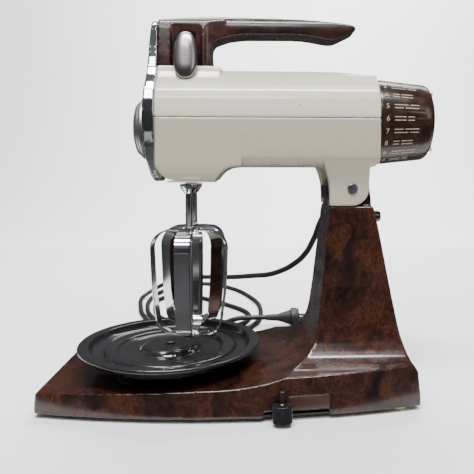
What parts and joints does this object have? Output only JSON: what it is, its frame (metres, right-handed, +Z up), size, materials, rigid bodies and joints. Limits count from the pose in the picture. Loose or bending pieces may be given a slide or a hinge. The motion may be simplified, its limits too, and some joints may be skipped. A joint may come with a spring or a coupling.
{
  "type": "stand mixer",
  "caption": "Household stand mixer: tilting head with speed drum and carrying handle over beaters and a bowl turntable on a long moulded base, with a free mains cord.",
  "frame": {"origin": "on the surface it stands on, at the middle of the mixer's own box without the cord and plug", "axes": "+X from the nose to the speed drum, +Y to the far side, +Z up; the shift knob is on the -Y side"},
  "size_m": [0.3334, 0.548, 0.328],
  "materials": {
    "brown_moulding": "glossy marbled brown phenolic",
    "brown_handle": "glossy dark brown",
    "cream_paint": "glossy cream enamel",
    "cream_lower": "glossy cream enamel, aged",
    "plate_cream": "satin",
    "chrome_trim": "polished",
    "satin_metal": "satin",
    "nose_grey": "matte",
    "black_plastic": "glossy black",
    "black_matte": "matte black",
    "black_rubber": "flexible cord sheath",
    "foot_rubber": "aged pale rubber",
    "panel_brown": "satin",
    "cover_board": "dull",
    "zinc_steel": "plated",
    "laminations": "dull",
    "copper_wire": "copper",
    "brass_parts": "machined",
    "cast_frame": "as cast",
    "carbon": "carbon",
    "dial_brown": "satin brown",
    "grip_olive": "aged"
  },
  "bodies": {
    "stand": {"stand": "brown_moulding", "base_cover_plate": "cover_board", "feet_front": "foot_rubber", "feet_rear": "foot_rubber", "cover_screws": "zinc_steel", "slot_cover": "panel_brown", "tilt_bumper": "black_rubber", "cord_gland": "black_rubber", "power_cord": "black_rubber", "plug_body": "black_matte", "plug_pins": "zinc_steel"},
    "latch": {"latch_button": "black_plastic"},
    "shift_lever": {"shift_arm": "zinc_steel", "turntable_post": "zinc_steel", "shift_knob": "black_plastic"},
    "turntable": {"turntable": "black_plastic"},
    "head": {"lower_casing": "cream_lower", "upper_casing": "cream_paint", "gearbox_bottom_plate": "plate_cream", "front_bezel": "chrome_trim", "nose_flange": "nose_grey", "handle": "brown_handle", "hinge_pin": "zinc_steel", "casing_screws": "zinc_steel", "dial_post": "cast_frame", "gearbox_frame": "cast_frame", "motor_stator": "laminations", "field_windings": "copper_wire", "brush_holders": "brass_parts", "carbon_brushes": "carbon", "front_bearing": "brass_parts", "rear_bearing": "brass_parts", "switch_plate": "cover_board", "capacitor": "panel_brown", "ejector_spring": "zinc_steel"},
    "nose_cover": {"nose_cap": "nose_grey"},
    "ejector": {"ejector_lever": "satin_metal"},
    "ejector_pusher": {"ejector_plate": "zinc_steel"},
    "armature": {"armature_core": "laminations", "armature_shaft": "zinc_steel", "commutator": "copper_wire", "cooling_fan": "black_matte", "worm": "zinc_steel"},
    "spindle_near": {"spindle_near": "zinc_steel", "worm_wheel_near": "brass_parts"},
    "spindle_far": {"spindle_far": "zinc_steel", "worm_wheel_far": "brass_parts"},
    "beater_near": {"beater_shaft_near": "chrome_trim", "beater_blades_near": "chrome_trim", "beater_collar_near": "chrome_trim"},
    "beater_far": {"beater_shaft_far": "chrome_trim", "beater_blades_far": "chrome_trim", "beater_collar_far": "chrome_trim"},
    "dial": {"speed_dial": "dial_brown", "dial_end_grip": "grip_olive"}
  },
  "joints": [
    {"name": "head_tilt", "type": "hinge", "parent": "stand", "child": "head", "pos_m": [0.09127, 0.003, 0.18], "axis": [0, 1, 0], "range_deg": [0, 55]},
    {"name": "latch_press", "type": "slide", "parent": "stand", "child": "latch", "axis": [-1, 0, 0], "range_m": [0, 0.0025], "stiffness_N_per_m": 300, "springref_m": -0.002},
    {"name": "bowl_shift", "type": "hinge", "parent": "stand", "child": "shift_lever", "pos_m": [0.02428, 0.003, 0.012], "axis": [0, 0, 1], "range_deg": [0, 9]},
    {"name": "turntable_spin", "type": "hinge", "parent": "shift_lever", "child": "turntable", "pos_m": [-0.06623, 0.003, 0.034], "axis": [0, 0, 1], "continuous": true},
    {"name": "nose_cap_pull", "type": "slide", "parent": "head", "child": "nose_cover", "axis": [-1, 0, 0], "range_m": [0, 0.02]},
    {"name": "ejector_lift", "type": "slide", "parent": "head", "child": "ejector", "axis": [0, 0, 1], "range_m": [0, 0.006], "stiffness_N_per_m": 600, "springref_m": -0.01},
    {"name": "pusher_drop", "type": "slide", "parent": "head", "child": "ejector_pusher", "axis": [0, 0, -1], "range_m": [0, 0.006], "deforming": ["ejector_spring"]},
    {"name": "armature_spin", "type": "hinge", "parent": "head", "child": "armature", "pos_m": [0.02428, 0.003, 0.2385], "axis": [1, 0, 0], "continuous": true},
    {"name": "spindle_near_spin", "type": "hinge", "parent": "head", "child": "spindle_near", "pos_m": [-0.04673, -0.018, 0.2385], "axis": [0, 0, 1], "continuous": true},
    {"name": "spindle_far_spin", "type": "hinge", "parent": "head", "child": "spindle_far", "pos_m": [-0.04673, 0.024, 0.2385], "axis": [0, 0, 1], "continuous": true},
    {"name": "beater_near_eject", "type": "slide", "parent": "spindle_near", "child": "beater_near", "axis": [0, 0, -1], "range_m": [0, 0.006]},
    {"name": "beater_far_eject", "type": "slide", "parent": "spindle_far", "child": "beater_far", "axis": [0, 0, -1], "range_m": [0, 0.006]},
    {"name": "speed_dial_turn", "type": "hinge", "parent": "head", "child": "dial", "pos_m": [0.12227, 0.003, 0.2385], "axis": [1, 0, 0], "range_deg": [0, 300]}
  ],
  "couplings": [
    {"joint": "spindle_near_spin", "follows": "armature_spin", "ratio": 0.083333},
    {"joint": "spindle_far_spin", "follows": "armature_spin", "ratio": -0.083333},
    {"joint": "pusher_drop", "follows": "ejector_lift", "ratio": 1},
    {"joint": "beater_near_eject", "follows": "ejector_lift", "ratio": 1},
    {"joint": "beater_far_eject", "follows": "ejector_lift", "ratio": 1}
  ]
}
